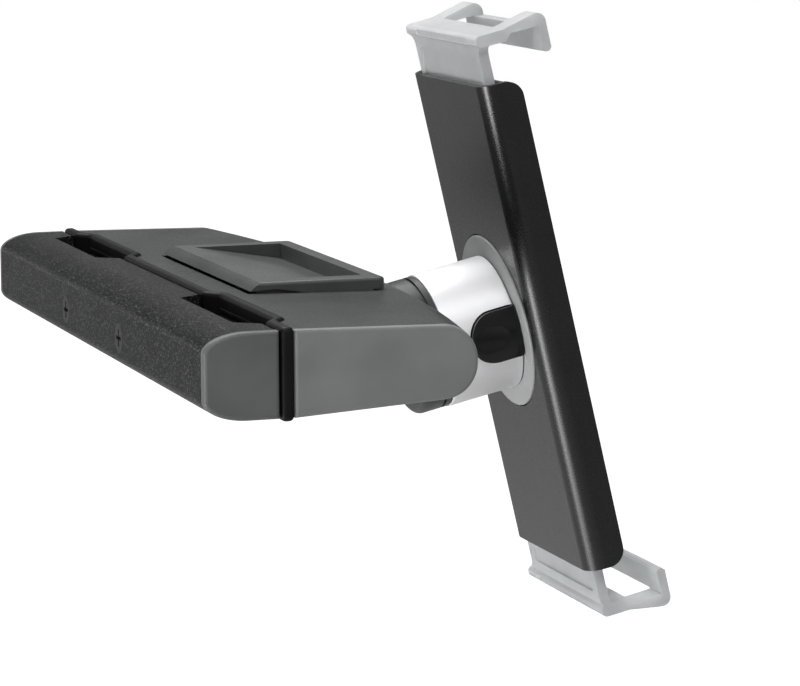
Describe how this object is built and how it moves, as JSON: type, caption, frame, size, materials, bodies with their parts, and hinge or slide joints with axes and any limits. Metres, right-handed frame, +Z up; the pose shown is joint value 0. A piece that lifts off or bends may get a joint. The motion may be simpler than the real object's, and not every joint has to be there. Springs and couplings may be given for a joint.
{
  "type": "tablet holder for head rest posts",
  "caption": "Clamp with two post gaps and a cam lever, carrying a tilting, turning back plate with spring-loaded frosted clips for a tablet.",
  "frame": {"origin": "midway between the two post gaps on the jaw's rear face, at half the clamp's height", "axes": "+X from the posts to the tablet, +Y along the jaw, +Z up"},
  "size_m": [0.1661, 0.238, 0.1773],
  "materials": {
    "textured_black": "fine grain",
    "smooth_black": "smooth satin",
    "gloss_black": "gloss",
    "rubber_black": "dull",
    "silver": "satin",
    "grey_disc": "satin",
    "dark_plate": "satin",
    "frosted": "frosted translucent",
    "inner_grey": "satin",
    "nylon_white": "satin",
    "steel": "plated",
    "steel_dark": "blackened"
  },
  "bodies": {
    "clamp": {"clamp_body": "textured_black", "body_strip": "rubber_black", "body_cap_left": "smooth_black", "body_cap_right": "smooth_black", "base_cover": "smooth_black", "base_screws": "steel_dark", "lever_axle": "steel", "tilt_bolt": "steel", "tilt_nut": "steel", "return_springs": "steel"},
    "jaw": {"jaw_bar": "textured_black", "jaw_cap_left": "smooth_black", "jaw_cap_right": "smooth_black", "jaw_pads": "rubber_black", "jaw_screws": "steel_dark", "tie_rods": "steel", "draw_yoke": "steel", "yoke_nuts": "steel"},
    "lever": {"lever": "smooth_black"},
    "arm": {"knuckle": "smooth_black", "friction_washers": "nylon_white", "hub": "inner_grey", "hub_screws": "steel", "sleeve": "silver", "button_spring_left": "steel", "button_spring_right": "steel", "swivel_disc": "grey_disc", "bearing_washer": "nylon_white", "retaining_ring": "steel", "ring_screws": "steel"},
    "button_left": {"button_left": "gloss_black"},
    "button_right": {"button_right": "gloss_black"},
    "head": {"back_plate": "dark_plate", "front_cover": "dark_plate", "cover_screws": "steel_dark", "tablet_pads": "rubber_black", "pinion_screw": "steel", "clip_spring": "steel"},
    "pinion": {"pinion": "nylon_white"},
    "top_clip": {"top_clip": "frosted"},
    "bottom_clip": {"bottom_clip": "frosted"}
  },
  "joints": [
    {"name": "lever_turn", "type": "hinge", "parent": "clamp", "child": "lever", "pos_m": [0.021, 0, 0.0057], "axis": [0, -1, 0], "range_deg": [0, 60.6]},
    {"name": "jaw_slide", "type": "slide", "parent": "clamp", "child": "jaw", "axis": [-1, 0, 0], "range_m": [0, 0.004]},
    {"name": "tilt", "type": "hinge", "parent": "clamp", "child": "arm", "pos_m": [0.054, 0, 0], "axis": [0, -1, 0], "range_deg": [-40, 25]},
    {"name": "swivel", "type": "hinge", "parent": "arm", "child": "head", "pos_m": [0.10471, 0, -0.00625], "axis": [0.9744, 0, 0.225], "continuous": true},
    {"name": "press_left", "type": "slide", "parent": "arm", "child": "button_left", "axis": [0, -1, 0], "range_m": [0, 0.0018], "stiffness_N_per_m": 600, "springref_m": -0.001, "deforming": ["button_spring_left"]},
    {"name": "press_right", "type": "slide", "parent": "arm", "child": "button_right", "axis": [0, 1, 0], "range_m": [0, 0.0018], "stiffness_N_per_m": 600, "springref_m": -0.001, "deforming": ["button_spring_right"]},
    {"name": "pinion_turn", "type": "hinge", "parent": "head", "child": "pinion", "pos_m": [0.11153, 0, -0.00468], "axis": [0.9744, 0, 0.225], "range_deg": [-57.87, 115.16]},
    {"name": "top_clip_slide", "type": "slide", "parent": "head", "child": "top_clip", "axis": [-0.225, 0, 0.9744], "range_m": [-0.01, 0.02], "stiffness_N_per_m": 40, "springref_m": -0.02},
    {"name": "bottom_clip_slide", "type": "slide", "parent": "head", "child": "bottom_clip", "axis": [0.225, 0, -0.9744], "range_m": [-0.0101, 0.0201]}
  ],
  "couplings": [
    {"joint": "lever_turn", "follows": "jaw_slide", "rad_per_m": 261.8},
    {"joint": "bottom_clip_slide", "follows": "top_clip_slide", "ratio": 1},
    {"joint": "pinion_turn", "follows": "top_clip_slide", "rad_per_m": 100}
  ]
}
